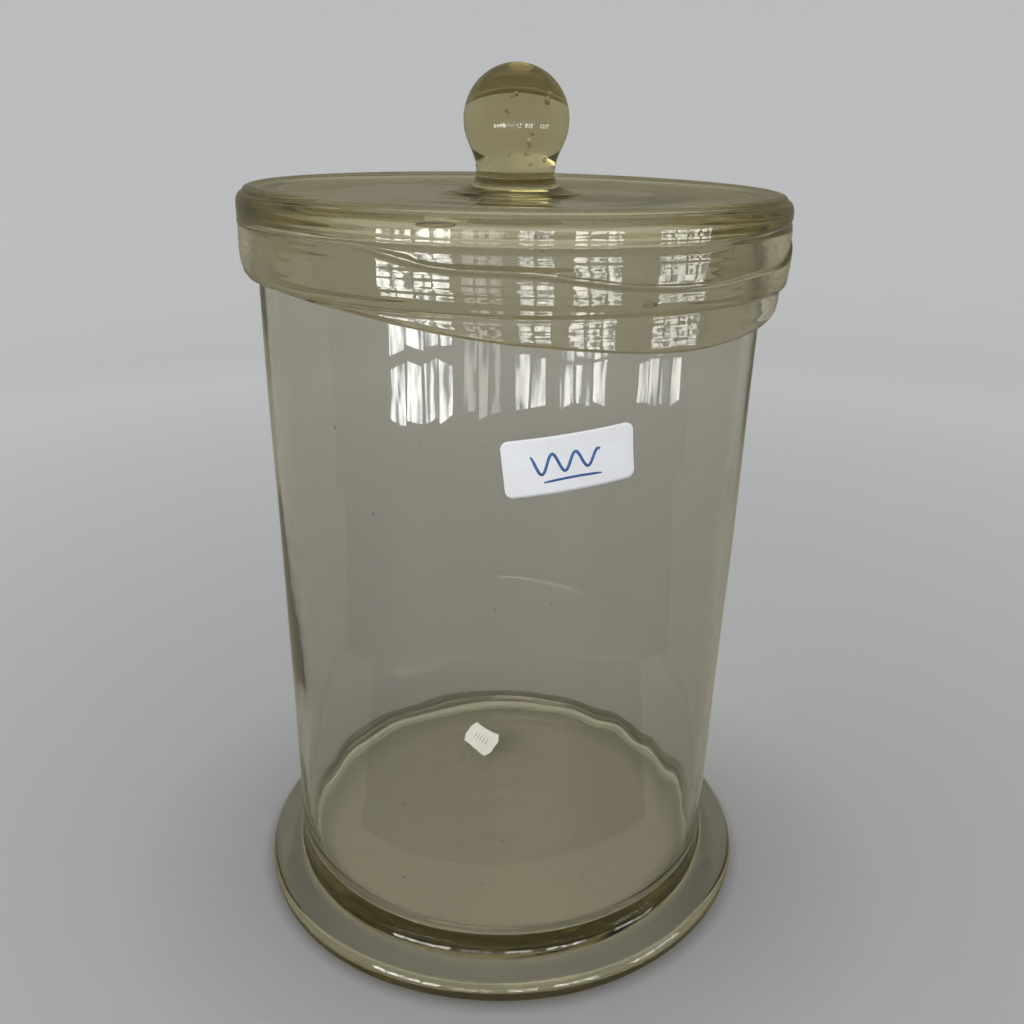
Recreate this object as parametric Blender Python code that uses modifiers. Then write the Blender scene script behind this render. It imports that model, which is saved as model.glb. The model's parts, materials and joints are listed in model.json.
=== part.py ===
"""Specimen jar: a blown glass cylinder on an applied foot, with a lift-off lid.

Everything is in metres, with +Z up. The origin is on the jar's axis at the plane it stands on.
The front of the jar, which carries the paper label, faces -Y.
"""

import math

import bmesh
import bpy
from mathutils import Vector

# Driving dimensions
HEIGHT = 0.328                # from the table to the top of the knob
FOOT_RADIUS = 0.1045          # outer edge of the applied foot
FOOT_THICKNESS = 0.008        # flange of the foot
BODY_RADIUS_LOW = 0.0895      # outside of the cylinder just above the foot
BODY_RADIUS_MOUTH = 0.0935    # outside of the cylinder at its mouth
WALL = 0.004                  # blown wall
RIM_HEIGHT = 0.2757           # mouth of the jar
FLOOR_HEIGHT = 0.013          # inner floor of the jar
LID_RADIUS = 0.1005           # widest part of the lid
LID_TOP = 0.2862              # crest of the lid's shoulder
PLATE_THICKNESS = 0.0030      # middle of the lid
KNOB_RADIUS = 0.0192          # bulb of the knob
LABEL_SIZE = (0.043, 0.019)   # rounded label on the cylinder
TAG_SIZE = (0.0215, 0.012)    # bow-ended tag inside, on the floor

# Clearances and small sizes
GAP = 0.0003                  # between pieces that touch
SKIRT_CLEARANCE = 0.0013      # between the cylinder and the lid's skirt
SKIRT_WALL = 0.0026
RIBBON_THICKNESS = 0.0028
PAPER = 0.0003

# Heights and angles that follow from how the pieces meet
BODY_BOTTOM = 0.006           # the cylinder's own floor starts here, inside the foot
KICK_HEIGHT = 0.003           # shallow hollow under the foot
SEAT_HEIGHT = RIM_HEIGHT + GAP        # underside of the ring that rests on the mouth
SEAT_INNER = 0.0875                   # inside the seat ring the plate is thinner
PLATE_TOP = 0.2833                    # dished middle of the lid
PLATE_UNDERSIDE = PLATE_TOP - PLATE_THICKNESS
SHOULDER_BOTTOM = 0.2755      # crease between the lid's shoulder and the ribbon below it
RIBBON_BOTTOM = 0.2555
SKIRT_DROP = 0.0125           # how far the skirt's lower edge sags on one side
SKIRT_SAG_ANGLE = math.radians(36)   # direction of the sag, from the front towards +X
LABEL_ANGLE = math.radians(11.4)     # centre of the label, from the front towards +X
LABEL_HEIGHT = 0.2093
LABEL_TILT = math.radians(7.2)
TAG_PLACE = (-0.0128, 0.0423)        # middle of the edge that the tag stands on
TAG_TURN = math.radians(-45.7)
TAG_LEAN = math.radians(36)          # the curled tag stands up from the floor by this much

STEPS = 48                    # facets round the large turned pieces
KNOB_STEPS = 32

SKIRT_INNER = BODY_RADIUS_MOUTH + SKIRT_CLEARANCE
SKIRT_OUTER = SKIRT_INNER + SKIRT_WALL
RIBBON_INNER = SKIRT_OUTER + GAP
RIBBON_OUTER = RIBBON_INNER + RIBBON_THICKNESS


def clear_scene():
    for item in list(bpy.data.objects):
        bpy.data.objects.remove(item, do_unlink=True)


def new_collection(name):
    collection = bpy.data.collections.new(name)
    bpy.context.scene.collection.children.link(collection)
    return collection


def move_to(item, collection):
    for old in list(item.users_collection):
        old.objects.unlink(item)
    collection.objects.link(item)


def make_material(name, color, roughness, transmission=0.0):
    material = bpy.data.materials.new(name)
    material.use_nodes = True
    shader = material.node_tree.nodes["Principled BSDF"]
    shader.inputs["Base Color"].default_value = (*color, 1.0)
    shader.inputs["Roughness"].default_value = roughness
    shader.inputs["Metallic"].default_value = 0.0
    shader.inputs["Transmission Weight"].default_value = transmission
    shader.inputs["IOR"].default_value = 1.51
    return material


def arc(center, radius, start_deg, end_deg, count):
    """Points (r, z) along an arc of a turned profile, both ends included."""
    points = []
    for i in range(count + 1):
        angle = math.radians(start_deg + (end_deg - start_deg) * i / count)
        points.append((center[0] + radius * math.cos(angle), center[1] + radius * math.sin(angle)))
    return points


def turned(name, profile, collection, material, steps=STEPS, closed=False):
    """A piece turned about Z from a profile that runs down its outer side."""
    mesh = bpy.data.meshes.new(name)
    shape = bmesh.new()
    verts = [shape.verts.new((r, 0.0, z)) for r, z in profile]
    for first, second in zip(verts, verts[1:]):
        shape.edges.new((first, second))
    if closed:
        shape.edges.new((verts[-1], verts[0]))
    shape.to_mesh(mesh)
    shape.free()
    piece = bpy.data.objects.new(name, mesh)
    collection.objects.link(piece)
    mesh.materials.append(material)
    screw = piece.modifiers.new("Turn", "SCREW")
    screw.axis = "Z"
    screw.angle = math.tau
    screw.screw_offset = 0.0
    screw.steps = steps
    screw.render_steps = steps
    screw.use_merge_vertices = True
    screw.merge_threshold = 0.00005
    screw.use_smooth_shade = True
    return piece


def body_radius(z):
    """Outside radius of the slightly tapered cylinder at height z."""
    share = (z - BODY_BOTTOM) / (RIM_HEIGHT - BODY_BOTTOM)
    return BODY_RADIUS_LOW + (BODY_RADIUS_MOUTH - BODY_RADIUS_LOW) * share


def make_jar_body(collection, material):
    lip = WALL / 2
    heel = 0.003
    fillet = 0.010
    inner_low = body_radius(FLOOR_HEIGHT + fillet) - WALL
    low_radius = body_radius(BODY_BOTTOM + heel)
    profile = [(0.0, FLOOR_HEIGHT)]
    profile += arc((inner_low - fillet, FLOOR_HEIGHT + fillet), fillet, -90, 0, 4)
    profile += arc((body_radius(RIM_HEIGHT - lip) - lip, RIM_HEIGHT - lip), lip, 180, 0, 6)
    profile += [(body_radius(z), z) for z in (0.20, 0.12, 0.05)]
    profile += arc((low_radius - heel, BODY_BOTTOM + heel), heel, 0, -90, 3)
    profile.append((0.0, BODY_BOTTOM))
    return turned("jar_body", profile, collection, material)


def make_jar_foot(collection, material):
    """Applied disc with a raised collar round the cylinder's heel and a shallow hollow below."""
    seat_radius = BODY_RADIUS_LOW + 2 * GAP
    fillet = 0.0055
    edge = FOOT_THICKNESS / 2
    collar_radius = seat_radius + 0.0009
    profile = [(0.0, BODY_BOTTOM - GAP), (seat_radius, BODY_BOTTOM - GAP)]
    profile.append((seat_radius, FOOT_THICKNESS + fillet))
    profile += arc((collar_radius + fillet, FOOT_THICKNESS + fillet), fillet, 180, 270, 5)
    profile += arc((FOOT_RADIUS - edge, edge), edge, 90, -90, 8)
    profile += [(0.078, 0.0), (0.060, 0.6 * KICK_HEIGHT), (0.030, 0.92 * KICK_HEIGHT)]
    profile.append((0.0, KICK_HEIGHT))
    return turned("jar_foot", profile, collection, material)


def make_lid_cap(collection, cutters, material):
    """Dished plate on a seat ring, rounded shoulder and a skirt whose lower edge runs on a slant."""
    shoulder = 0.006
    lip = 0.0012
    inner_fillet = 0.001
    skirt_end = RIBBON_BOTTOM - SKIRT_DROP - 0.004
    crest_radius = LID_RADIUS - shoulder
    profile = [(0.0, PLATE_TOP), (0.030, PLATE_TOP), (0.065, PLATE_TOP + 0.0012)]
    profile += arc((crest_radius, LID_TOP - shoulder), shoulder, 96, 0, 6)
    profile += arc((LID_RADIUS - lip, SHOULDER_BOTTOM + lip), lip, 0, -90, 3)
    profile += [(SKIRT_OUTER, SHOULDER_BOTTOM), (SKIRT_OUTER, skirt_end), (SKIRT_INNER, skirt_end)]
    fillet_center = (SKIRT_INNER - inner_fillet, SEAT_HEIGHT - inner_fillet)
    profile += arc(fillet_center, inner_fillet, 0, 90, 2)
    profile += [(SEAT_INNER, SEAT_HEIGHT), (SEAT_INNER - 0.0045, PLATE_UNDERSIDE), (0.0, PLATE_UNDERSIDE)]
    piece = turned("lid_cap", profile, collection, material)

    size = 0.3
    slope = math.atan(SKIRT_DROP / SKIRT_OUTER)
    bpy.ops.mesh.primitive_cube_add(size=1.0)
    cutter = bpy.context.object
    cutter.name = "skirt_slant_cutter"
    move_to(cutter, cutters)
    for vert in cutter.data.vertices:
        vert.co = Vector((vert.co.x * size, vert.co.y * size, (vert.co.z - 0.5) * size / 2))
    cutter.rotation_euler = (0.0, slope, SKIRT_SAG_ANGLE - math.pi / 2)
    cutter.location = (0.0, 0.0, RIBBON_BOTTOM)
    cutter.hide_render = True
    cutter.display_type = "WIRE"
    cut = piece.modifiers.new("Slanted edge", "BOOLEAN")
    cut.operation = "DIFFERENCE"
    cut.solver = "EXACT"
    cut.object = cutter
    return piece


def make_lid_band(collection, material):
    """Flat ribbon of glass trailed round the skirt, under the shoulder."""
    top = SHOULDER_BOTTOM - GAP
    corner = 0.0016
    profile = [(RIBBON_INNER, top)]
    profile += arc((RIBBON_OUTER - corner, top - corner), corner, 90, 0, 3)
    profile += arc((RIBBON_OUTER - corner, RIBBON_BOTTOM + corner), corner, 0, -90, 3)
    profile.append((RIBBON_INNER, RIBBON_BOTTOM))
    return turned("lid_band", profile, collection, material, closed=True)


def make_lid_knob(collection, material):
    """Solid bulb on a short neck that spreads into a round pad on the plate."""
    bottom = PLATE_TOP + GAP
    bulb_center = HEIGHT - KNOB_RADIUS
    neck_radius = 0.0145
    pad_radius = 0.025
    flare = 0.0062
    bulb = arc((0.0, bulb_center), KNOB_RADIUS, 90, -24, 10)
    bulb[0] = (0.0, HEIGHT)
    waist = [(0.0158, 0.2975), (0.0147, 0.2935)]
    foot = arc((neck_radius + flare, bottom + 0.0008 + flare), flare, 180, 262, 5)
    profile = bulb + waist + foot
    profile += [(pad_radius, bottom + 0.0006), (pad_radius - 0.0004, bottom), (0.0, bottom)]
    return turned("lid_knob", profile, collection, material, steps=KNOB_STEPS)


def sheet_grid(name, columns, rows, collection, material):
    """Flat unit grid that the paper pieces are shaped from, with its Solidify thickness."""
    bpy.ops.mesh.primitive_grid_add(x_subdivisions=columns, y_subdivisions=rows, size=2.0)
    piece = bpy.context.object
    piece.name = name
    piece.data.name = name
    move_to(piece, collection)
    piece.data.materials.append(material)
    solid = piece.modifiers.new("Paper", "SOLIDIFY")
    solid.thickness = PAPER
    solid.offset = 1.0
    return piece


def make_lot_label(collection, material):
    """Rounded rectangle of paper that follows the outside of the cylinder."""
    half_width, half_height = LABEL_SIZE[0] / 2, LABEL_SIZE[1] / 2
    corner = 0.0022
    piece = sheet_grid("lot_label", 26, 4, collection, material)
    for vert in piece.data.vertices:
        along = math.sin(vert.co.x * math.pi / 2) * half_width
        into_corner = max(0.0, abs(along) - (half_width - corner))
        drop = corner - math.sqrt(max(0.0, corner ** 2 - into_corner ** 2))
        across = vert.co.y * (half_height - drop)
        flat_x = along * math.cos(LABEL_TILT) - across * math.sin(LABEL_TILT)
        z = LABEL_HEIGHT + along * math.sin(LABEL_TILT) + across * math.cos(LABEL_TILT)
        radius = body_radius(z) + GAP
        angle = LABEL_ANGLE + flat_x / radius
        vert.co = Vector((radius * math.sin(angle), -radius * math.cos(angle), z))
    return piece


def make_price_tag(collection, material):
    """Small tag with bowed short ends, standing half up on one long edge on the inner floor."""
    half_width, half_height = TAG_SIZE[0] / 2, TAG_SIZE[1] / 2
    bow = 0.0011
    piece = sheet_grid("price_tag", 6, 10, collection, material)
    cos_turn, sin_turn = math.cos(TAG_TURN), math.sin(TAG_TURN)
    for vert in piece.data.vertices:
        bulge = bow * math.cos(vert.co.y * math.pi / 2) ** 2
        along = vert.co.x * (half_width - bow + bulge)
        up_slope = (vert.co.y + 1.0) * half_height
        across = up_slope * math.cos(TAG_LEAN)
        x = TAG_PLACE[0] + along * cos_turn - across * sin_turn
        y = TAG_PLACE[1] + along * sin_turn + across * cos_turn
        vert.co = Vector((x, y, FLOOR_HEIGHT + GAP + up_slope * math.sin(TAG_LEAN)))
    return piece


def make_axis(name, height, collection):
    """Empty on the jar's axis that the pieces of one body hang from."""
    axis = bpy.data.objects.new(name, None)
    axis.empty_display_size = 0.02
    axis.location = (0.0, 0.0, height)
    collection.objects.link(axis)
    return axis


def hang_from(axis, pieces):
    for piece in pieces:
        piece.parent = axis
        piece.matrix_parent_inverse.identity()
        piece.location = (0.0, 0.0, -axis.location.z)


def main():
    clear_scene()
    jar = new_collection("specimen_jar")
    cutters = new_collection("cutters")
    jar_glass = make_material("jar_glass", (0.80, 0.80, 0.70), 0.03, 1.0)
    lid_glass = make_material("lid_glass", (0.66, 0.64, 0.48), 0.03, 1.0)
    label_paper = make_material("label_paper", (0.82, 0.83, 0.85), 0.7)
    tag_paper = make_material("tag_paper", (0.86, 0.86, 0.84), 0.6)

    fixed = [
        make_jar_body(jar, jar_glass),
        make_jar_foot(jar, jar_glass),
        make_lot_label(jar, label_paper),
        make_price_tag(jar, tag_paper),
    ]
    lifting = [
        make_lid_cap(jar, cutters, lid_glass),
        make_lid_band(jar, lid_glass),
        make_lid_knob(jar, lid_glass),
    ]
    hang_from(make_axis("jar_axis", 0.0, jar), fixed)
    hang_from(make_axis("lid_lift_axis", RIM_HEIGHT, jar), lifting)


main()
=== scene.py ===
"""Looks of the specimen jar: hand-blown glass, a ribbon trailed round its lid and two stickers.

The jar and its foot are fused gathers of glass, and so are the lid, its ribbon and its knob, so the
glass of each body is shown as one closed skin. Angles called phi run from the front (-Y) to +X.
"""

import json
import math

import bpy
import numpy as np
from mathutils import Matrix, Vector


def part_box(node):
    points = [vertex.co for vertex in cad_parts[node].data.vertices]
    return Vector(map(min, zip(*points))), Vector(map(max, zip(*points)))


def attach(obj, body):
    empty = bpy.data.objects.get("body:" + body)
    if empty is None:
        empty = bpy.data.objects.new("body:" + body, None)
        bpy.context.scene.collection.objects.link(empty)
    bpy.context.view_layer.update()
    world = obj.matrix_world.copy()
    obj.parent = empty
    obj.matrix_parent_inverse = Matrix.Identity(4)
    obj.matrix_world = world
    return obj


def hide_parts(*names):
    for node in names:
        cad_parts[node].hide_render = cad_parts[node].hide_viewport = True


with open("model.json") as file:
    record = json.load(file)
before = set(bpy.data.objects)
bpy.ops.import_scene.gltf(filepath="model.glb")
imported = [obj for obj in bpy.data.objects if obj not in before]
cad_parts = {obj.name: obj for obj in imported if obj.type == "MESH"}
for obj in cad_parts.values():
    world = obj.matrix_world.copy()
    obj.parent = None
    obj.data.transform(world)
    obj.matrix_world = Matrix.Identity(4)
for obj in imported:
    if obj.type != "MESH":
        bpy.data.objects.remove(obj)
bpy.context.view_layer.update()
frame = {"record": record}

MM = 0.001

# Places from the frame
MOUNTS = {mount["name"]: mount["pos_m"] for mount in frame["record"]["mounts"]}
FLOOR_HEIGHT = MOUNTS["inner_floor"][2]
RIM_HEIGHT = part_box("jar_body")[1].z
MOUTH_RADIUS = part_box("jar_body")[1].x
BODY_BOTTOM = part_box("jar_body")[0].z
FOOT_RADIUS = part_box("jar_foot")[1].x
LID_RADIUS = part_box("lid_cap")[1].x
LID_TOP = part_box("lid_cap")[1].z
LID_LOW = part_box("lid_cap")[0].z
RIBBON_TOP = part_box("lid_band")[1].z
RIBBON_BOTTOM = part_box("lid_band")[0].z
KNOB_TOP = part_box("lid_knob")[1].z
PLATE_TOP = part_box("lid_knob")[0].z

# Sizes of the glass
LOW_RADIUS = 89.5 * MM          # outside of the cylinder just above the foot
WALL = 4.0 * MM
WAVY = (12 * MM, 40 * MM)       # the outside's waves come in between these heights
LEAN = 0.019                    # the cylinder and lid lean towards +X by this slope
LEAN_FROM = 12 * MM
LEAN_EASE = (8 * MM, 20 * MM)   # the lean comes in between these heights
LID_SHIFT = 0.8 * MM            # the lid sits a little towards +X on the mouth
KNOB_RADIUS = 19.2 * MM
SKIRT_RADIUS = LID_RADIUS - 2.2 * MM
SKIRT_WALL = 2.5 * MM
SEAT_INNER = 87.5 * MM          # the lid rests on a ring; inside it the plate is thinner
PLATE_UNDER = 280.3 * MM
REST_GAP = 0.3 * MM             # between the jar's rim and the lid

# How finely the glass is drawn
SIDES = 256                     # points round every ring
WALL_RINGS = 112                # rings up the cylinder, outside and inside
WAVE_COUNT = 6                  # waves in every seeded sum


# --------------------------------------------------------------------------------------------------
# Shape tools
# --------------------------------------------------------------------------------------------------

def ease(low, high, value):
    """Smooth step from 0 at low to 1 at high."""
    share = np.clip((value - low) / (high - low), 0.0, 1.0)
    return share * share * (3.0 - 2.0 * share)


def between(phi, rise, fall):
    """Share that eases in and out again round the axis; rise and fall are two degrees each."""
    rise, fall = np.radians(rise), np.radians(fall)
    return ease(rise[0], rise[1], phi) * (1.0 - ease(fall[0], fall[1], phi))


def around(count=SIDES):
    """Angles once round the axis, from the back."""
    return np.linspace(-math.pi, math.pi, count, endpoint=False)


def arc(center, radius, start, end, count):
    """Points (r, z) along an arc, both ends included; the angles are in degrees."""
    angles = np.radians(np.linspace(start, end, count))
    return [(center[0] + radius * math.cos(a), center[1] + radius * math.sin(a)) for a in angles]


def straight(start, end, count):
    """Points (r, z) from just after start up to end."""
    shares = np.linspace(0.0, 1.0, count + 1)[1:]
    return [(start[0] + (end[0] - start[0]) * t, start[1] + (end[1] - start[1]) * t)
            for t in shares]


def bezier(first, second, third, fourth, count):
    """Points (r, z) along a cubic curve, from just after its first point up to its last."""
    ends = (first, second, third, fourth)
    points = []
    for t in np.linspace(0.0, 1.0, count + 1)[1:]:
        weights = ((1 - t) ** 3, 3 * t * (1 - t) ** 2, 3 * t * t * (1 - t), t ** 3)
        points.append(tuple(sum(w * p[i] for w, p in zip(weights, ends)) for i in (0, 1)))
    return points


def waves(phi, z, seed, size, orders, pitch):
    """Seeded sum of waves round the axis that drift with height, without a seam."""
    draw = np.random.default_rng(seed)
    total = 0.0
    for _ in range(WAVE_COUNT):
        order = int(draw.integers(orders[0], orders[1] + 1))
        drift = draw.uniform(-pitch, pitch)
        phase = draw.uniform(0.0, math.tau)
        total = total + np.cos(order * phi + drift * z + phase)
    return total * size / math.sqrt(WAVE_COUNT)


def wall_waves(phi, z, seed):
    """How far a blown surface strays from true: slow swells, vertical cords and faint turns."""
    swell = waves(phi, z, seed, 0.22 * MM, (1, 3), 28)
    dents = waves(phi, z, seed + 1, 0.09 * MM, (3, 7), 70)
    cords = waves(phi, z, seed + 2, 0.024 * MM, (12, 34), 14)
    turns = waves(phi, z, seed + 3, 0.008 * MM, (0, 2), 620)
    return swell + dents + cords + turns


def outside_waves(phi, z):
    """How far the outside of the cylinder strays; the waves run out towards the foot."""
    return wall_waves(phi, z, 11) * ease(WAVY[0], WAVY[1], z)


def outer_radius(phi, z):
    """Outside of the cylinder at any place on it."""
    share = (z - BODY_BOTTOM) / (RIM_HEIGHT - BODY_BOTTOM)
    return LOW_RADIUS + (MOUTH_RADIUS - LOW_RADIUS) * share + outside_waves(phi, z)


def leaned(points):
    """The cylinder and lid lean a little, on a foot that stands level."""
    x, y, z = points[..., 0], points[..., 1], points[..., 2]
    share = ease(LEAN_EASE[0], LEAN_EASE[1], z)
    return np.stack([x + LEAN * (z - LEAN_FROM) * share, y, z - LEAN * x * share], axis=-1)


def round_points(phi, radius, z):
    """Points at angles, radii and heights."""
    return np.stack([radius * np.sin(phi), -radius * np.cos(phi), z + 0.0 * phi], axis=-1)


def grid_faces(columns, rows):
    """Faces between the points of a flat grid, row by row."""
    row, column = np.meshgrid(np.arange(rows - 1), np.arange(columns - 1), indexing="ij")
    corner = (row * columns + column).ravel()
    return np.stack([corner, corner + 1, corner + columns + 1, corner + columns], axis=-1)


def ring_faces(rings, sides):
    """Faces between rings of points."""
    row, side = np.meshgrid(np.arange(rings - 1), np.arange(sides), indexing="ij")
    after = (side + 1) % sides
    quads = np.stack([row * sides + side, row * sides + after,
                      (row + 1) * sides + after, (row + 1) * sides + side], axis=-1)
    return quads.reshape(-1, 4).tolist()


def closed_rings(grid, inward=False):
    """Points and faces of a closed skin from a grid of rings, with a fan over each end."""
    rings, sides = grid.shape[:2]
    ends = np.stack([grid[0].mean(axis=0), grid[-1].mean(axis=0)])
    faces = ring_faces(rings, sides)
    first, last = rings * sides, rings * sides + 1
    for j in range(sides):
        k = (j + 1) % sides
        faces.append([first, k, j])
        faces.append([last, (rings - 1) * sides + j, (rings - 1) * sides + k])
    if inward:
        faces = [face[::-1] for face in faces]
    return np.vstack([grid.reshape(-1, 3), ends]), faces


def bubble(center, radii, phi):
    """Air bubble, its faces turned inwards: the radii are along the wall, across it and upright."""
    angles = np.linspace(0.0, math.tau, 14, endpoint=False)
    rises = np.radians(np.linspace(-75, 75, 8))
    along = radii[0] * np.cos(rises)[:, None] * np.cos(angles)[None, :]
    across = radii[1] * np.cos(rises)[:, None] * np.sin(angles)[None, :]
    up = radii[2] * np.sin(rises)[:, None] + 0.0 * along
    x = center[0] + along * math.cos(phi) + across * math.sin(phi)
    y = center[1] + along * math.sin(phi) - across * math.cos(phi)
    return closed_rings(np.stack([x, y, center[2] + up], axis=-1))


def new_mesh(name, shells, materials):
    """One object from several (points, faces) shells, shaded smooth."""
    points, faces = [], []
    for shell_points, shell_faces in shells:
        start = len(points)
        points.extend(np.asarray(shell_points).tolist())
        faces.extend([[start + i for i in face] for face in shell_faces])
    mesh = bpy.data.meshes.new(name)
    mesh.from_pydata(points, [], faces)
    mesh.shade_smooth()
    for material in materials:
        mesh.materials.append(material)
    piece = bpy.data.objects.new(name, mesh)
    bpy.context.scene.collection.objects.link(piece)
    return piece


def hide_from(thing, *rays):
    """Hides the thing from these kinds of ray."""
    for ray in rays:
        setattr(thing, "visible_" + ray, False)


# --------------------------------------------------------------------------------------------------
# Glass of the jar
# --------------------------------------------------------------------------------------------------

def jar_profile():
    """Half section from under the foot, up the outside and down the inside to the inner floor.

    Also gives each point's share of the outside's waves, and the number of the first point that
    is past the top of the outside.
    """
    kick, rest_radius = 1.2 * MM, 78 * MM
    under = [(r, kick * (1 - (r / rest_radius) ** 2))
             for r in np.linspace(1.0 * MM, rest_radius, 30)]
    lower = 2.2 * MM
    rim = arc((FOOT_RADIUS - lower, lower), lower, -90, 0, 7)
    rim += bezier((FOOT_RADIUS, lower), (FOOT_RADIUS, 5.2 * MM),
                  (FOOT_RADIUS - 1.6 * MM, 7.2 * MM), (FOOT_RADIUS - 4.0 * MM, 7.8 * MM), 8)
    heel = (LOW_RADIUS + 0.3 * MM, 14.5 * MM)
    flange = bezier(rim[-1], (FOOT_RADIUS - 8 * MM, 8.7 * MM),
                    (heel[0] + 0.4 * MM, 7.4 * MM), heel, 18)
    lip = WALL / 2
    wall_top = RIM_HEIGHT - lip
    outside = straight(heel, (MOUTH_RADIUS, wall_top), WALL_RINGS)
    over = arc((MOUTH_RADIUS - lip, wall_top), lip, 15, 165, 9)
    fillet = 10 * MM
    inner_low = LOW_RADIUS - WALL
    inside = straight((MOUTH_RADIUS - WALL, wall_top), (inner_low, FLOOR_HEIGHT + fillet),
                      WALL_RINGS)
    corner = arc((inner_low - fillet, FLOOR_HEIGHT + fillet), fillet, -6, -90, 14)
    floor = straight(corner[-1], (1.0 * MM, FLOOR_HEIGHT), 44)

    foot = under + rim + flange
    within = inside + corner + floor
    share = [0.0] * len(foot) + [1.0] * len(outside)
    share += np.linspace(0.9, 0.1, len(over)).tolist() + [0.0] * len(within)
    return np.array(foot + outside + over + within), np.array(share)[:, None], len(foot + outside)


def make_jar_glass(material):
    """One skin of glass for the cylinder, its floor and the foot."""
    profile, outer_share, first_inner = jar_profile()
    row = np.arange(len(profile))[:, None]
    outer_row, inner_row = row < first_inner, row >= first_inner
    phi = around()[None, :]
    r, z = profile[:, :1], profile[:, 1:]

    # The wall waves on its outside, and its thickness varies
    thickness = waves(phi, z, 31, 0.30 * MM, (1, 4), 30) + wall_waves(phi, z, 41)
    thickness = inner_row * (1.0 - outer_share) * thickness * ease(FLOOR_HEIGHT, 35 * MM, z)
    radius = r + outside_waves(phi, z) * outer_share + thickness

    # The foot isn't quite round, and its top rolls
    on_foot = outer_row * (1.0 - outer_share)
    edge_share = ease(80 * MM, FOOT_RADIUS, r) * on_foot
    radius = radius + edge_share * waves(phi, 0.0, 51, 0.35 * MM, (2, 6), 0)
    roll = waves(phi, r, 61, 0.12 * MM, (3, 9), 300) * ease(3 * MM, 7 * MM, z)
    roll = roll * on_foot * ease(88 * MM, 94 * MM, r)

    # The inner floor has a swirl, which fades out towards its middle and its edge
    off_middle = ease(0.0, 14 * MM, r)
    on_floor = inner_row * (1.0 - ease(62 * MM, 80 * MM, r))
    swirl = np.cos(430 * r + 2 * phi + 1.2 * np.cos(phi - 0.6)) * 0.12 * MM
    swirl = (swirl + waves(phi, r, 71, 0.09 * MM, (1, 4), 160)) * off_middle

    # The hollow under the foot is rough, with the ring left by the pontil
    under = outer_row * (1.0 - ease(66 * MM, 76 * MM, r)) * (z < 5 * MM)
    pontil = np.exp(-((r - 13 * MM) / (2.2 * MM)) ** 2) * (1 + 0.4 * np.cos(3 * phi + 1))
    pontil = pontil * 0.42 * MM
    rough = waves(phi, r, 81, 0.08 * MM, (1, 5), 220) * off_middle

    height = z + roll + on_floor * swirl + under * (rough - pontil)
    height = np.where(outer_row, np.maximum(height, 0.0), height)
    skin = closed_rings(leaned(round_points(phi, radius, height)))
    return new_mesh("jar_glass", [skin] + jar_seeds(), [material])


def jar_seeds():
    """Small bubbles drawn out in the wall and floor of the jar."""
    draw = np.random.default_rng(5)
    seeds = []
    for _ in range(34):
        phi = draw.uniform(-math.pi, math.pi)
        z = draw.uniform(0.03, 0.26)
        radius = outer_radius(phi, z) - WALL * draw.uniform(0.45, 0.55)
        size = draw.uniform(0.12, 0.38) * MM
        center = leaned(np.array([radius * math.sin(phi), -radius * math.cos(phi), z]))
        seeds.append(bubble(center, (size, size * 0.7, size * draw.uniform(1.2, 3.0)), phi))
    for _ in range(26):
        phi, radius = draw.uniform(-math.pi, math.pi), 74 * MM * math.sqrt(draw.uniform(0.01, 1.0))
        size = draw.uniform(0.15, 0.5) * MM
        center = (radius * math.sin(phi), -radius * math.cos(phi), draw.uniform(7.0, 10.5) * MM)
        seeds.append(bubble(center, (size * draw.uniform(1.0, 2.5), size, size * 0.7), phi))
    return seeds


# --------------------------------------------------------------------------------------------------
# Glass of the lid
# --------------------------------------------------------------------------------------------------

SAG_PHI = math.radians(34)      # where the ribbon's second turn hangs lowest
SAG_REACH = math.radians(92)    # how far round it hangs to either side
RIBBON_WIDTH = 20.4 * MM
SHOULDER_RINGS = 12             # the last rings of the shoulder wave with the lid's side


def ribbon_edges(phi):
    """Heights of the ribbon's parts round the lid.

    They are its upper edge, the crease where its second turn begins, the skirt's lower edge and
    the step where the ribbon ends. Last comes the share by which the crease shows.
    """
    off = (phi - SAG_PHI + math.pi) % math.tau - math.pi
    near = np.clip(off / SAG_REACH, -1.0, 1.0)
    drop = (RIBBON_BOTTOM - LID_LOW) * np.cos(near * math.pi / 2) ** 2
    bottom = RIBBON_BOTTOM + 0.2 * MM - drop + waves(phi, 0.0, 91, 0.22 * MM, (4, 11), 0)
    crease = bottom + RIBBON_WIDTH + 0.9 * MM * np.cos(9 * (phi - math.radians(5)))
    crease = crease + waves(phi, 0.0, 92, 0.25 * MM, (5, 16), 0)
    upper = RIBBON_TOP + 0.3 * MM + 2.2 * MM * between(phi, (30, 62), (90, 150))
    upper = upper + waves(phi, 0.0, 93, 0.12 * MM, (2, 6), 0)
    present = ease(0.5 * MM, 3.0 * MM, upper - crease)
    crease = np.minimum(crease, upper - 2.2 * MM)
    step = np.maximum(RIBBON_BOTTOM + 0.1 * MM, bottom + 0.9 * MM)
    return upper, crease, bottom, step, present


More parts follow.
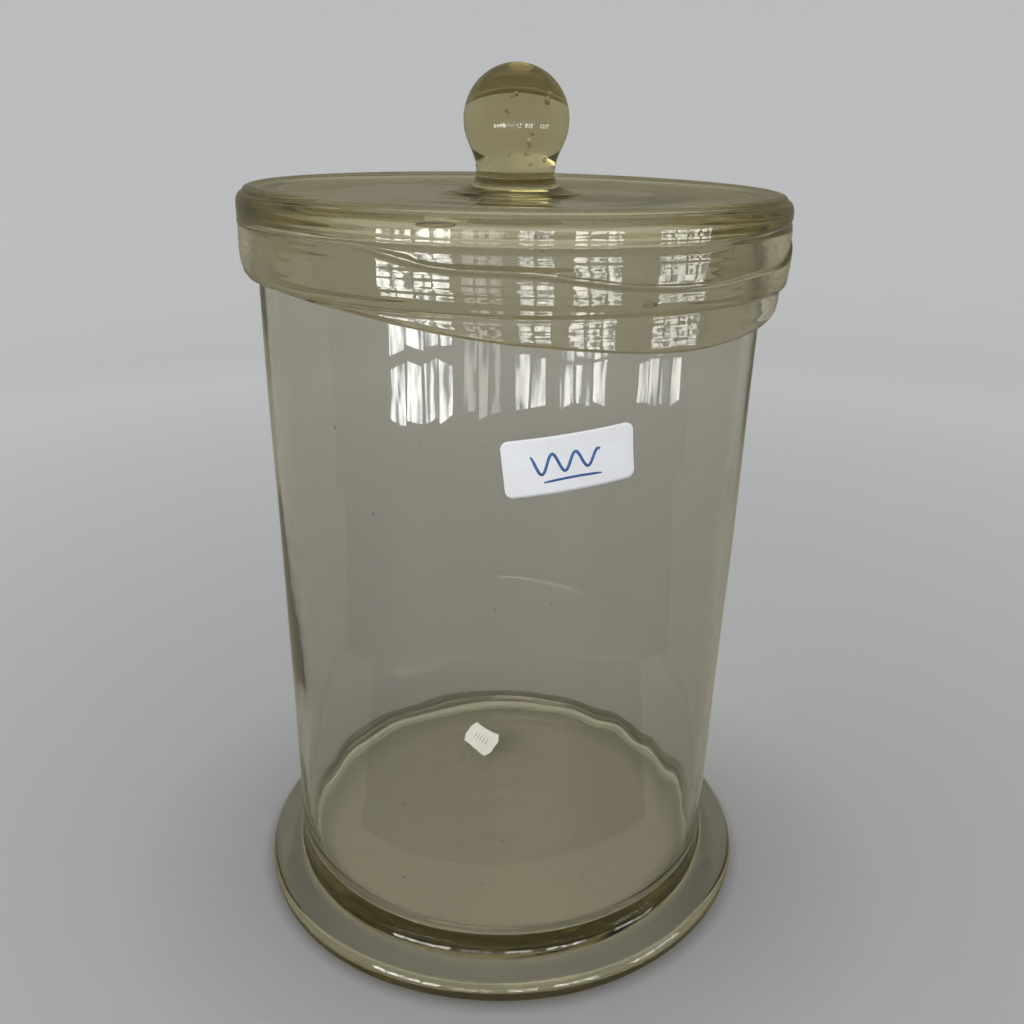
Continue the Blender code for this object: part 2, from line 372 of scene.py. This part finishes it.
def lid_top_profile():
    """Half section from the top of the knob out to the lid's side, and the shoulder's centre."""
    center = KNOB_TOP - KNOB_RADIUS
    bulb = arc((0.0, center), KNOB_RADIUS, 87, -27, 34)
    neck = (14.5 * MM, 291.0 * MM)
    tangent = (-0.454, -0.891)
    reach = 4.2 * MM
    pull = (bulb[-1][0] + tangent[0] * reach, bulb[-1][1] + tangent[1] * reach)
    waist = bezier(bulb[-1], pull, (neck[0], neck[1] + 3.0 * MM), neck, 10)
    pad = (24.2 * MM, PLATE_TOP + 0.75 * MM)
    flare = bezier(neck, (neck[0], neck[1] - 4.5 * MM), (17.5 * MM, pad[1] + 0.3 * MM), pad, 16)
    step = [(25.0 * MM, PLATE_TOP + 0.45 * MM), (25.4 * MM, PLATE_TOP + 0.1 * MM)]
    rise = 2.3 * MM             # the plate turns up towards the shoulder
    dish = [(r, PLATE_TOP + rise * ((r - 25 * MM) / (65 * MM)) ** 6)
            for r in np.linspace(26.2 * MM, 88 * MM, 26)]
    shoulder = 5.9 * MM
    crest = (LID_RADIUS - shoulder, LID_TOP - shoulder)
    edge = arc(crest, shoulder, 104, 0, 22)
    dip_at, dip_width = 11.5, 1.4    # a shallow groove round the shoulder, in points of the edge
    dips = [0.30 * MM * math.exp(-((i - dip_at) / dip_width) ** 2) for i in range(len(edge))]
    edge = [(r - dip, z - dip) for (r, z), dip in zip(edge, dips)]
    return np.array(bulb + waist + flare + step + dish + edge), crest


def zone(rows, top, bottom, radius_top, radius_bottom, count, bulge=0.0):
    """Adds rings from just below one height to another, the radius running between two values."""
    for t in np.linspace(0.0, 1.0, count + 1)[1:]:
        swell = bulge * 4 * t * (1 - t)
        rows.append((radius_top + (radius_bottom - radius_top) * t + swell,
                     top + (bottom - top) * t))


def step_rows(rows, height, radii, drops):
    """Adds one ring for each pair of radius and drop below the height, the drops in millimetres."""
    for radius, drop in zip(radii, drops):
        rows.append((radius, height - drop * MM))


def lid_rings(phi, edges):
    """Rings of the lid from the top of its knob, down its side and up its inside to the plate.

    Also gives the number of the first ring of the side, of the inner wall, of the seat above it
    and of the plate's underside.
    """
    upper, crease, bottom, step, present = edges
    top, crest = lid_top_profile()
    rows = top.tolist()
    first_side = len(rows)

    # Down to the ribbon's upper edge, with a groove along it at the front
    side, turn = LID_RADIUS, LID_RADIUS - 0.1 * MM
    cut = (0.03 + 0.97 * between(phi, (-45, -5), (95, 150))) * MM
    zone(rows, crest[1], upper + 0.9 * MM, side, side, 6)
    step_rows(rows, upper, (side - 0.05 * cut, side - 0.3 * cut, side - 0.5 * cut,
                            turn - 0.2 * cut, turn), (-0.6, -0.25, 0.0, 0.3, 0.8))

    # The first turn, then the second one, which stands proud of it
    proud = present * 1.0 * MM
    low_turn = turn + 0.3 * proud
    zone(rows, upper - 0.8 * MM, crease + 1.2 * MM, turn, turn, 32, 0.25 * MM)
    step_rows(rows, crease, (turn - 0.15 * proud, turn - 0.1 * proud, turn + 0.35 * proud,
                             turn + 0.75 * proud, turn + proud), (-0.6, -0.1, 0.2, 0.5, 1.0))
    zone(rows, crease - 1.0 * MM, step + 1.0 * MM, turn + proud, low_turn, 36, 0.2 * MM)

    # In to the skirt, and round its lower edge
    lip = SKIRT_WALL / 2
    step_rows(rows, step, (low_turn - 0.3 * MM, low_turn - 0.9 * MM, SKIRT_RADIUS + 0.2 * MM,
                           SKIRT_RADIUS), (-0.55, -0.15, 0.1, 0.4))
    zone(rows, step - 0.4 * MM, np.minimum(bottom + lip, step - 0.45 * MM),
         SKIRT_RADIUS, SKIRT_RADIUS, 16, 0.15 * MM)
    for angle in np.radians(np.linspace(-12, -168, 9)):
        rows.append((SKIRT_RADIUS - lip + lip * math.cos(angle),
                     bottom + lip + lip * math.sin(angle)))

    # Up the inside, round the corner and across the seat
    first_inner = len(rows)
    inner = SKIRT_RADIUS - SKIRT_WALL
    seat = RIM_HEIGHT + REST_GAP
    fillet = 2.0 * MM
    zone(rows, bottom + lip, seat - fillet, inner, inner, 20)
    first_seat = len(rows)
    for angle in np.radians(np.linspace(15, 90, 5)):
        rows.append((inner - fillet + fillet * math.cos(angle),
                     seat - fillet + fillet * math.sin(angle)))
    zone(rows, seat, seat, inner - fillet, SEAT_INNER, 5)

    # Up to the plate's underside, and in to the middle
    under_edge = SEAT_INNER - 6 * MM
    rows += bezier((SEAT_INNER, seat), (SEAT_INNER - 2.5 * MM, seat),
                   (SEAT_INNER - 2.5 * MM, PLATE_UNDER), (under_edge, PLATE_UNDER), 7)
    first_under = len(rows)
    zone(rows, PLATE_UNDER, PLATE_UNDER, under_edge, 1.0 * MM, 20)

    radius = np.stack([row[0] + 0.0 * phi for row in rows])
    height = np.stack([row[1] + 0.0 * phi for row in rows])
    return radius, height, (first_side, first_inner, first_seat, first_under)


def make_lid_glass(material):
    """One skin of glass for the lid, its ribbon and its knob."""
    phi = around()
    edges = ribbon_edges(phi)
    radius, height, (first_side, first_inner, first_seat, first_under) = lid_rings(phi, edges)
    index = np.arange(len(radius))[:, None]
    shoulder = first_side - SHOULDER_RINGS

    # Swells, the fine turns left by the trailing, and cords
    outside = (index >= shoulder) * (index < first_inner)
    inside = (index >= first_inner) * (index < first_seat)
    side_waves = waves(phi, height, 101, 0.16 * MM, (2, 5), 60)
    side_waves = side_waves + waves(phi, height, 102, 0.050 * MM, (0, 3), 2300)
    side_waves = side_waves + waves(phi, height, 103, 0.02 * MM, (10, 26), 80)
    radius = radius + outside * side_waves + inside * waves(phi, height, 104, 0.18 * MM, (2, 7), 60)

    # The lower edge is rounded off where the second turn doesn't hang
    away = 1.0 - between(phi, (-35, 5), (110, 150))
    step, reach = edges[3], 9 * MM
    near_edge = np.clip((step + reach - height) / reach, 0.0, 1.0) * (height > step)
    radius = radius - outside * away * near_edge ** 2 * 1.2 * MM

    # The knob is a little oval, and the plate waves above and below
    knob = (height > PLATE_TOP + 5 * MM) * (index < first_side)
    radius = radius * (1 + knob * 0.008 * np.cos(2 * phi + 0.8))
    plate = (index < shoulder) * ease(26 * MM, 40 * MM, radius)
    height = height + plate * (waves(phi, radius, 105, 0.14 * MM, (1, 4), 90) +
                               waves(phi, radius, 106, 0.03 * MM, (0, 3), 420))
    under = (index >= first_under) * ease(0.0, 12 * MM, radius)
    height = height + under * waves(phi, radius, 107, 0.16 * MM, (1, 4), 70)

    grid = round_points(phi, radius, height)
    grid[..., 0] += LID_SHIFT
    skin = closed_rings(leaned(grid), inward=True)
    return new_mesh("lid_glass", [skin] + lid_bubbles(), [material])


def lid_bubbles():
    """The long bubbles of the lid's side, and the seeds of its side, plate and knob."""
    bubbles = []

    def place(phi_deg, radius, z, radii):
        phi = math.radians(phi_deg)
        center = np.array([radius * math.sin(phi) + LID_SHIFT, -radius * math.cos(phi), z])
        bubbles.append(bubble(leaned(center), radii, phi))

    place(23, LID_RADIUS - 1.7 * MM, 259 * MM, (2.5 * MM, 0.45 * MM, 0.8 * MM))
    place(-14, LID_RADIUS - 2.6 * MM, 281 * MM, (6.0 * MM, 0.5 * MM, 0.8 * MM))
    draw = np.random.default_rng(8)
    for _ in range(22):
        size = draw.uniform(0.2, 0.55) * MM
        place(draw.uniform(-180, 180), LID_RADIUS - draw.uniform(1.2, 3.0) * MM,
              draw.uniform(259, 281) * MM, (size * draw.uniform(1.2, 4.0), size * 0.5, size * 0.6))
    in_plate = 281.9 * MM
    for _ in range(14):
        size = draw.uniform(0.2, 0.4) * MM
        place(draw.uniform(-180, 180), draw.uniform(28, 80) * MM, in_plate,
              (size * 2, size, size * 0.6))
    knob_center = KNOB_TOP - KNOB_RADIUS
    for _ in range(16):
        size = draw.uniform(0.2, 0.7) * MM
        place(draw.uniform(-180, 180), draw.uniform(3, 14) * MM,
              knob_center + draw.uniform(-16, 9) * MM, (size, size, size * draw.uniform(0.8, 2.0)))
    return bubbles


# --------------------------------------------------------------------------------------------------
# Paper
# --------------------------------------------------------------------------------------------------

PAPER = 0.12 * MM               # thickness of both stickers
GLUE = 0.08 * MM                # between the label and the glass

LABEL_HALF = (21.5 * MM, 9.5 * MM)
LABEL_CORNER = 2.6 * MM
LABEL_TILT = math.radians(7.2)

TAG_HALF = (10.8 * MM, 6.0 * MM)
TAG_TURN = math.radians(-45.7)
TAG_EDGE = (-12.8 * MM, 42.3 * MM, FLOOR_HEIGHT + 0.25 * MM)   # middle of the edge on the floor


def sheet_shell(place, columns, rows):
    """Closed sheet: place(u, v, lift) gives a point; u and v go from -1 to 1, lift is in metres."""
    u, v = np.meshgrid(np.linspace(-1, 1, columns), np.linspace(-1, 1, rows), indexing="xy")
    points = np.vstack([place(u, v, lift).reshape(-1, 3) for lift in (PAPER, 0.0)])
    front = grid_faces(columns, rows)
    size = columns * rows
    faces = front.tolist() + (front[:, ::-1] + size).tolist()
    rim = list(range(columns)) + [r * columns + columns - 1 for r in range(1, rows)]
    rim += [(rows - 1) * columns + c for c in range(columns - 2, -1, -1)]
    rim += [r * columns for r in range(rows - 2, 0, -1)]
    for here, after in zip(rim, rim[1:] + rim[:1]):
        faces.append([here, here + size, after + size, after])
    return points, faces


def stroke_shell(place, path, width, lift):
    """Flat stroke of ink along a path of (u, v) in metres on a sheet, lying on top of the paper."""
    path = np.array(path)
    along = np.gradient(path, axis=0)
    along /= np.linalg.norm(along, axis=1, keepdims=True)
    across = np.stack([-along[:, 1], along[:, 0]], axis=-1)
    count = len(path)
    from_end = np.minimum(np.arange(count), np.arange(count)[::-1])
    half = across * (width / 2) * np.minimum(1.0, 0.55 + 0.12 * from_end)[:, None]
    points = [place(line[:, 0], line[:, 1], height)
              for height in (lift, PAPER) for line in (path + half, path - half)]
    faces = []
    for i in range(count - 1):
        a, b, c, d = i, count + i, 2 * count + i, 3 * count + i
        faces.append([a, b, b + 1, a + 1])
        faces.append([c + 1, d + 1, d, c])
        faces.append([a + 1, c + 1, c, a])
        faces.append([b, d, d + 1, b + 1])
    faces.append([0, 2 * count, 3 * count, count])
    faces.append([count - 1, 2 * count - 1, 4 * count - 1, 3 * count - 1])
    return np.vstack(points), faces


def round_corners(u, v, half_width, half_height, corner):
    """Maps the unit square onto a rectangle with round corners, in metres."""
    x = np.sin(u * math.pi / 2) * half_width
    into = np.maximum(0.0, np.abs(x) - (half_width - corner))
    drop = corner - np.sqrt(np.maximum(0.0, corner ** 2 - into ** 2))
    return x, v * (half_height - drop)


def new_sticker(name, sheet, strokes, paper, ink):
    """One piece from a sheet and the strokes on it, which take the ink."""
    piece = new_mesh(name, [sheet] + strokes, [paper, ink])
    for polygon in piece.data.polygons:
        polygon.material_index = int(polygon.index >= len(sheet[1]))
    return piece


def label_place(x, y, lift):
    """Place on the leaning cylinder of a point of the label, in metres from its middle.

    The label's upper right corner curls off the glass a little.
    """
    low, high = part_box("lot_label")
    middle = (low + high) / 2
    phi = math.atan2(middle.x, -middle.y)
    across = x * math.cos(LABEL_TILT) - y * math.sin(LABEL_TILT)
    z = middle.z + x * math.sin(LABEL_TILT) + y * math.cos(LABEL_TILT)
    curl = 0.5 * MM * ease(0.86, 1.0, x / LABEL_HALF[0]) * ease(-0.2, 1.0, y / LABEL_HALF[1])
    angle = phi + across / (outer_radius(phi, z) + GLUE)
    radius = outer_radius(angle, z) + GLUE + lift + curl
    return leaned(np.stack([radius * np.sin(angle), -radius * np.cos(angle), z], axis=-1))


def make_label(paper, ink):
    """Paper label with a plain blue pen mark: a wave and the line under it."""
    def corner_place(u, v, lift):
        return label_place(*round_corners(u, v, *LABEL_HALF, LABEL_CORNER), lift)

    turn = np.linspace(0.0, 1.0, 90)
    wave_x = (-12.5 + 22.5 * turn) * MM
    wave_y = (0.6 + 3.4 * np.cos(3 * math.tau * turn + 0.5) * (1 - 0.25 * turn)) * MM
    under = np.linspace(0.0, 1.0, 30)
    line_x, line_y = (-9.0 + 19.0 * under) * MM, (-5.4 + 0.5 * np.sin(3 * under)) * MM
    lift = PAPER + 0.04 * MM
    wave = stroke_shell(label_place, np.stack([wave_x, wave_y], axis=-1), 0.95 * MM, lift)
    line = stroke_shell(label_place, np.stack([line_x, line_y], axis=-1), 0.8 * MM, lift)
    sheet = sheet_shell(corner_place, 72, 22)
    return new_sticker("lot_label_paper", sheet, [wave, line], paper, ink)


def tag_place(x, y, lift):
    """Place of a point of the curled tag, in metres from its middle.

    x runs along the tag's long edge and y up its short side, which leans and bends back.
    """
    rise = y + TAG_HALF[1]
    start, bend = math.radians(22), math.radians(28) / (2 * TAG_HALF[1])
    slope = start + bend * rise
    out = (np.sin(slope) - math.sin(start)) / bend - lift * np.sin(slope)
    up = (math.cos(start) - np.cos(slope)) / bend + lift * np.cos(slope)
    up = up + 0.5 * MM * (x / TAG_HALF[0]) ** 2
    px = TAG_EDGE[0] + x * math.cos(TAG_TURN) - out * math.sin(TAG_TURN)
    py = TAG_EDGE[1] + x * math.sin(TAG_TURN) + out * math.cos(TAG_TURN)
    return leaned(np.stack([px, py, TAG_EDGE[2] + up], axis=-1))


def make_tag(paper, ink):
    """Small curled tag with bowed ends and a row of plain printed ticks."""
    bow = 2.2 * MM

    def bowed_place(u, v, lift):
        half = TAG_HALF[0] - bow + bow * ease(1.0, 0.35, np.abs(v))
        return tag_place(u * half, v * TAG_HALF[1], lift)

    ticks = []
    for i in range(5):
        x = (-4.6 + 2.3 * i) * MM
        path = [(x + 0.15 * MM * t, (-1.7 + 3.4 * t) * MM) for t in np.linspace(0, 1, 6)]
        ticks.append(stroke_shell(tag_place, path, 0.55 * MM, PAPER + 0.03 * MM))
    sheet = sheet_shell(bowed_place, 40, 26)
    return new_sticker("price_tag_paper", sheet, ticks, paper, ink)


# --------------------------------------------------------------------------------------------------
# Materials
# --------------------------------------------------------------------------------------------------

def new_material(name):
    """Material, its node tree and its shader."""
    material = bpy.data.materials.new(name)
    material.use_nodes = True
    tree = material.node_tree
    return material, tree, tree.nodes["Principled BSDF"]


def noise(tree, scale, detail, stretch=(1, 1, 1)):
    """Noise in the piece's own space; stretch scales it along each axis."""
    place = tree.nodes.new("ShaderNodeTexCoord")
    mapping = tree.nodes.new("ShaderNodeMapping")
    mapping.inputs["Scale"].default_value = stretch
    texture = tree.nodes.new("ShaderNodeTexNoise")
    texture.inputs["Scale"].default_value = scale
    texture.inputs["Detail"].default_value = detail
    tree.links.new(place.outputs["Object"], mapping.inputs["Vector"])
    tree.links.new(mapping.outputs["Vector"], texture.inputs["Vector"])
    return texture.outputs["Fac"]


def ramp(tree, value, stops):
    """Colour ramp with (position, colour) stops."""
    node = tree.nodes.new("ShaderNodeValToRGB")
    elements = node.color_ramp.elements
    while len(elements) < len(stops):
        elements.new(0.5)
    for element, (position, color) in zip(elements, stops):
        element.position = position
        element.color = (*color, 1.0)
    tree.links.new(value, node.inputs["Fac"])
    return node.outputs["Color"]


def grey(value):
    """Colour without a hue."""
    return (value, value, value)


def bump(tree, value, strength, distance):
    """Fine relief from a value; the distance is in metres."""
    node = tree.nodes.new("ShaderNodeBump")
    node.inputs["Strength"].default_value = strength
    node.inputs["Distance"].default_value = distance
    tree.links.new(value, node.inputs["Height"])
    return node.outputs["Normal"]


def glass_material(name, clear, surface, tint, density):
    """Old olive glass, darker where it is thick, with a film of dust, specks and fine cords."""
    material, tree, shader = new_material(name)
    shader.inputs["Transmission Weight"].default_value = clear
    shader.inputs["IOR"].default_value = 1.5
    film = ramp(tree, noise(tree, 26, 3),
                [(0.35, grey(0.0)), (0.6, grey(0.012)), (0.8, grey(0.06))])
    tree.links.new(film, shader.inputs["Roughness"])
    specks = ramp(tree, noise(tree, 900, 1),
                  [(0.0, surface), (0.765, surface), (0.80, (0.35, 0.32, 0.26))])
    tree.links.new(specks, shader.inputs["Base Color"])
    cords = noise(tree, 60, 2, (1, 1, 0.12))
    tree.links.new(bump(tree, cords, 0.12, 0.4 * MM), shader.inputs["Normal"])
    volume = tree.nodes.new("ShaderNodeVolumeAbsorption")
    volume.inputs["Color"].default_value = (*tint, 1.0)
    volume.inputs["Density"].default_value = density
    tree.links.new(volume.outputs["Volume"], tree.nodes["Material Output"].inputs["Volume"])
    return material


def paper_material(name, color, stain):
    """Matt fibrous paper with faint stains."""
    material, tree, shader = new_material(name)
    fibres = noise(tree, 1500, 4)
    ageing = noise(tree, 90, 3)
    tree.links.new(ramp(tree, ageing, [(0.35, color), (0.75, stain)]), shader.inputs["Base Color"])
    tree.links.new(ramp(tree, fibres, [(0.3, grey(0.5)), (0.7, grey(0.62))]),
                   shader.inputs["Roughness"])
    tree.links.new(bump(tree, fibres, 0.25, 0.04 * MM), shader.inputs["Normal"])
    return material


def ink_material(name, dark, light):
    """Ink that pools darker in places."""
    material, tree, shader = new_material(name)
    pooling = noise(tree, 700, 2)
    tree.links.new(ramp(tree, pooling, [(0.35, dark), (0.7, light)]), shader.inputs["Base Color"])
    shader.inputs["Roughness"].default_value = 0.45
    return material


# --------------------------------------------------------------------------------------------------
# Stage
# --------------------------------------------------------------------------------------------------

COVE_FRONT = -0.115             # the cove in front of this y isn't seen in mirror reflections
CONTACT_SHADOW = (0.18, 0.175, 0.17)
MIRRORED_PAINT = (0.31, 0.28, 0.19, 1.0)

WINDOW_DISTANCE = 0.62          # from the jar's axis
WINDOW_HEIGHTS = (0.05, 0.235)
WINDOW_BAR = 0.09               # half width of the bars, as a share of a pane
WINDOWS = (                     # name, from and to in degrees, strength, panes across and up
    ("window_left", -50, -22, 22, (4, 3)),
    ("window_slit", -19, -4, 5, (3, 2)),
    ("window_middle", 1, 13, 15, (2, 3)),
    ("window_right", 19, 38, 15, (3, 4)),
    ("window_far", 52, 75, 11, (4, 4)),
)


def cove_paint():
    """Paint that is darker near the jar, and darkest under its foot.

    The glass casts no shadow, so the dark ring stands in for the jar's contact shadow. Where the
    jar's surfaces mirror the cove, the paint is dimmer, like a room behind the camera.
    """
    material, tree, shader = new_material("cove_paint")
    place = tree.nodes.new("ShaderNodeTexCoord")
    reach = tree.nodes.new("ShaderNodeVectorMath")
    reach.operation = "LENGTH"
    tree.links.new(place.outputs["Object"], reach.inputs[0])
    paint = ramp(tree, reach.outputs["Value"],
                 [(0.074, (0.42, 0.41, 0.40)), (0.090, CONTACT_SHADOW), (0.103, CONTACT_SHADOW),
                  (0.108, grey(0.34)), (0.17, (0.43, 0.435, 0.44)), (0.9, (0.77, 0.765, 0.755))])
    path = tree.nodes.new("ShaderNodeLightPath")
    mirrored = tree.nodes.new("ShaderNodeMath")
    mirrored.operation = "MULTIPLY"
    tree.links.new(path.outputs["Is Glossy Ray"], mirrored.inputs[0])
    tree.links.new(path.outputs["Is Reflection Ray"], mirrored.inputs[1])
    dimmed = tree.nodes.new("ShaderNodeMix")
    dimmed.data_type = "RGBA"
    factor, direct, other = dimmed.inputs[0], dimmed.inputs[6], dimmed.inputs[7]
    tree.links.new(mirrored.outputs["Value"], factor)
    tree.links.new(paint, direct)
    other.default_value = MIRRORED_PAINT
    tree.links.new(dimmed.outputs[2], shader.inputs["Base Color"])
    shader.inputs["Roughness"].default_value = 0.6
    return material


def make_cove():
    """Round pale sweep, in two halves: a floor that turns up into a wall on every side."""
    flat, bend, wall = 1.1, 0.9, 0.7
    profile = [(r, 0.0) for r in (0.02, 0.15, 0.3, 0.6)]
    profile += arc((flat, bend), bend, -90, 0, 24)
    profile += [(flat + bend, bend + wall)]
    sides = 128
    phi = around(sides)[None, :]
    rows = np.array(profile)
    grid = round_points(phi, rows[:, :1] + 0.0 * phi, rows[:, 1:] - 0.5 * MM)
    points = grid.reshape(-1, 3)
    faces = ring_faces(len(rows), sides)
    front = [face for face in faces if points[face].mean(axis=0)[1] < COVE_FRONT]
    back = [face for face in faces if points[face].mean(axis=0)[1] >= COVE_FRONT]
    back.append(list(range(sides))[::-1])    # the middle of the floor
    paint = cove_paint()
    cove_front = new_mesh("cove_front", [(points, front)], [paint])
    cove_back = new_mesh("cove_back", [(points, back)], [paint])
    hide_from(cove_front, "glossy")


def glow_material(name):
    """Material that gives off light and nothing else, with its node tree and light node."""
    material, tree, shader = new_material(name)
    tree.nodes.remove(shader)
    glow = tree.nodes.new("ShaderNodeEmission")
    tree.links.new(glow.outputs["Emission"], tree.nodes["Material Output"].inputs["Surface"])
    return material, tree, glow


def stage_reflection(name, shells, material):
    """Piece of the stage that is seen only as a reflection."""
    piece = new_mesh(name, shells, [material])
    hide_from(piece, "camera", "diffuse", "transmission", "volume_scatter", "shadow")


def make_window(name, phi_from, phi_to, strength, panes):
    """Paned window in front of the jar, on an arc round it, its panes a little uneven."""
    (columns, rows), (low, high) = panes, WINDOW_HEIGHTS
    draw = np.random.default_rng(int(phi_from) + 200)
    shells = []
    for i in range(columns):
        for j in range(rows):
            left, right = [math.radians(phi_from + (phi_to - phi_from) * share / columns)
                           for share in (i + WINDOW_BAR, i + 1 - WINDOW_BAR)]
            bottom, top = [low + (high - low) * share / rows
                           for share in (j + WINDOW_BAR, j + 1 - WINDOW_BAR)]
            corners = [(phi + draw.uniform(-0.012, 0.012), z + draw.uniform(-5, 5) * MM)
                       for phi, z in ((left, bottom), (right, bottom), (right, top), (left, top))]
            points = [(WINDOW_DISTANCE * math.sin(phi), -WINDOW_DISTANCE * math.cos(phi), z)
                      for phi, z in corners]
            shells.append((np.array(points), [[0, 1, 2, 3]]))
    material, tree, glow = glow_material(name)
    glow.inputs["Strength"].default_value = strength
    view = ramp(tree, noise(tree, 34, 3, (1, 1, 0.5)),
                [(0.40, (0.06, 0.07, 0.08)), (0.47, (0.5, 0.53, 0.55)), (0.60, (1.0, 0.97, 0.9))])
    tree.links.new(view, glow.inputs["Color"])
    stage_reflection(name, shells, material)


def make_glow(name, phi_from, phi_to, strength):
    """Pale wall behind the windows that fades out downwards and to both sides."""
    columns, rows = 49, 9
    phi = np.radians(np.linspace(phi_from, phi_to, columns))[None, :]
    heights = np.linspace(-0.02, 0.30, rows)[:, None]
    grid = round_points(phi, WINDOW_DISTANCE + 0.06 + 0.0 * heights, heights)
    material, tree, glow = glow_material(name)
    place = tree.nodes.new("ShaderNodeTexCoord")
    split = tree.nodes.new("ShaderNodeSeparateXYZ")
    tree.links.new(place.outputs["Object"], split.inputs["Vector"])
    off_middle = tree.nodes.new("ShaderNodeMath")
    off_middle.operation = "ABSOLUTE"
    tree.links.new(split.outputs["X"], off_middle.inputs[0])
    sideways = ramp(tree, off_middle.outputs["Value"], [(0.30, grey(strength)), (0.62, grey(0.0))])
    tree.links.new(sideways, glow.inputs["Strength"])
    upwards = ramp(tree, split.outputs["Z"], [(0.0, grey(0.0)), (0.16, (0.97, 0.98, 1.0))])
    tree.links.new(upwards, glow.inputs["Color"])
    shell = (grid.reshape(-1, 3), grid_faces(columns, rows).tolist())
    stage_reflection(name, [shell], material)


def make_light(name, place, aim, size, power):
    """Soft rectangular light, hidden from the camera and from mirror reflections."""
    data = bpy.data.lights.new(name, "AREA")
    data.shape = "RECTANGLE"
    data.size, data.size_y = size
    data.energy = power
    light = bpy.data.objects.new(name, data)
    bpy.context.scene.collection.objects.link(light)
    light.location = place
    direction = Vector(aim) - Vector(place)
    light.rotation_euler = direction.to_track_quat("-Z", "Y").to_euler()
    hide_from(light, "camera", "glossy")


def make_world():
    """Even daylight from all round, which the glass doesn't mirror."""
    world = bpy.data.worlds.new("studio")
    bpy.context.scene.world = world
    world.use_nodes = True
    background = world.node_tree.nodes["Background"]
    background.inputs["Color"].default_value = (0.93, 0.96, 1.0, 1.0)
    background.inputs["Strength"].default_value = 0.74
    world.cycles_visibility.glossy = False


def make_camera():
    """Stands in front of the jar and a little above its middle, looking down at it."""
    look_down, turn = math.radians(21.23), math.radians(-0.70)
    data = bpy.data.cameras.new("camera")
    data.sensor_width = 36.0
    data.lens = 35.98
    camera = bpy.data.objects.new("camera", data)
    camera.location = (0.0, -0.395, 0.3106)
    camera.rotation_euler = (math.radians(90) - look_down, 0.0, turn)
    bpy.context.scene.collection.objects.link(camera)
    bpy.context.scene.camera = camera


def main():
    """Dresses the part's two bodies, and sets the stage round them."""
    make_camera()
    jar_glass = glass_material("jar_glass", 0.990, (0.79, 0.778, 0.732), (0.72, 0.685, 0.46), 40)
    lid_glass = glass_material("lid_glass", 0.975, (0.76, 0.722, 0.60), (0.73, 0.69, 0.44), 50)
    label_paper = paper_material("label_paper", (0.91, 0.925, 0.96), (0.85, 0.85, 0.86))
    tag_paper = paper_material("tag_paper", (0.90, 0.93, 0.98), (0.84, 0.87, 0.92))
    pen = ink_material("pen_ink", (0.01, 0.09, 0.30), (0.02, 0.16, 0.42))
    print_ink = ink_material("print_ink", (0.16, 0.10, 0.24), (0.26, 0.19, 0.34))

    jar = make_jar_glass(jar_glass)
    lid = make_lid_glass(lid_glass)
    label = make_label(label_paper, pen)
    tag = make_tag(tag_paper, print_ink)
    dressed = (
        (jar, "jar", "jar_glass", ("jar_body", "jar_foot")),
        (lid, "lid", "lid_glass", ("lid_cap", "lid_band", "lid_knob")),
        (label, "jar", "label_paper", ("lot_label",)),
        (tag, "jar", "tag_paper", ("price_tag",)),
    )
    for piece, body, slot, nodes in dressed:
        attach(piece, body)
        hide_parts(*nodes)
    # Light passes straight through the glass, so the tag and the floor under the jar stay light
    hide_from(jar, "shadow")
    hide_from(lid, "shadow")

    make_cove()
    make_world()
    make_light("softbox", (-0.4, -1.05, 1.35), (0.0, 0.0, 0.16), (1.1, 0.8), 11)
    for window in WINDOWS:
        make_window(*window)
    make_glow("wall_glow", -78, 78, 0.7)
    bpy.context.scene.view_settings.view_transform = "Standard"
    cycles = bpy.context.scene.cycles
    cycles.max_bounces = 24
    cycles.transmission_bounces = 24
    cycles.glossy_bounces = 12


main()
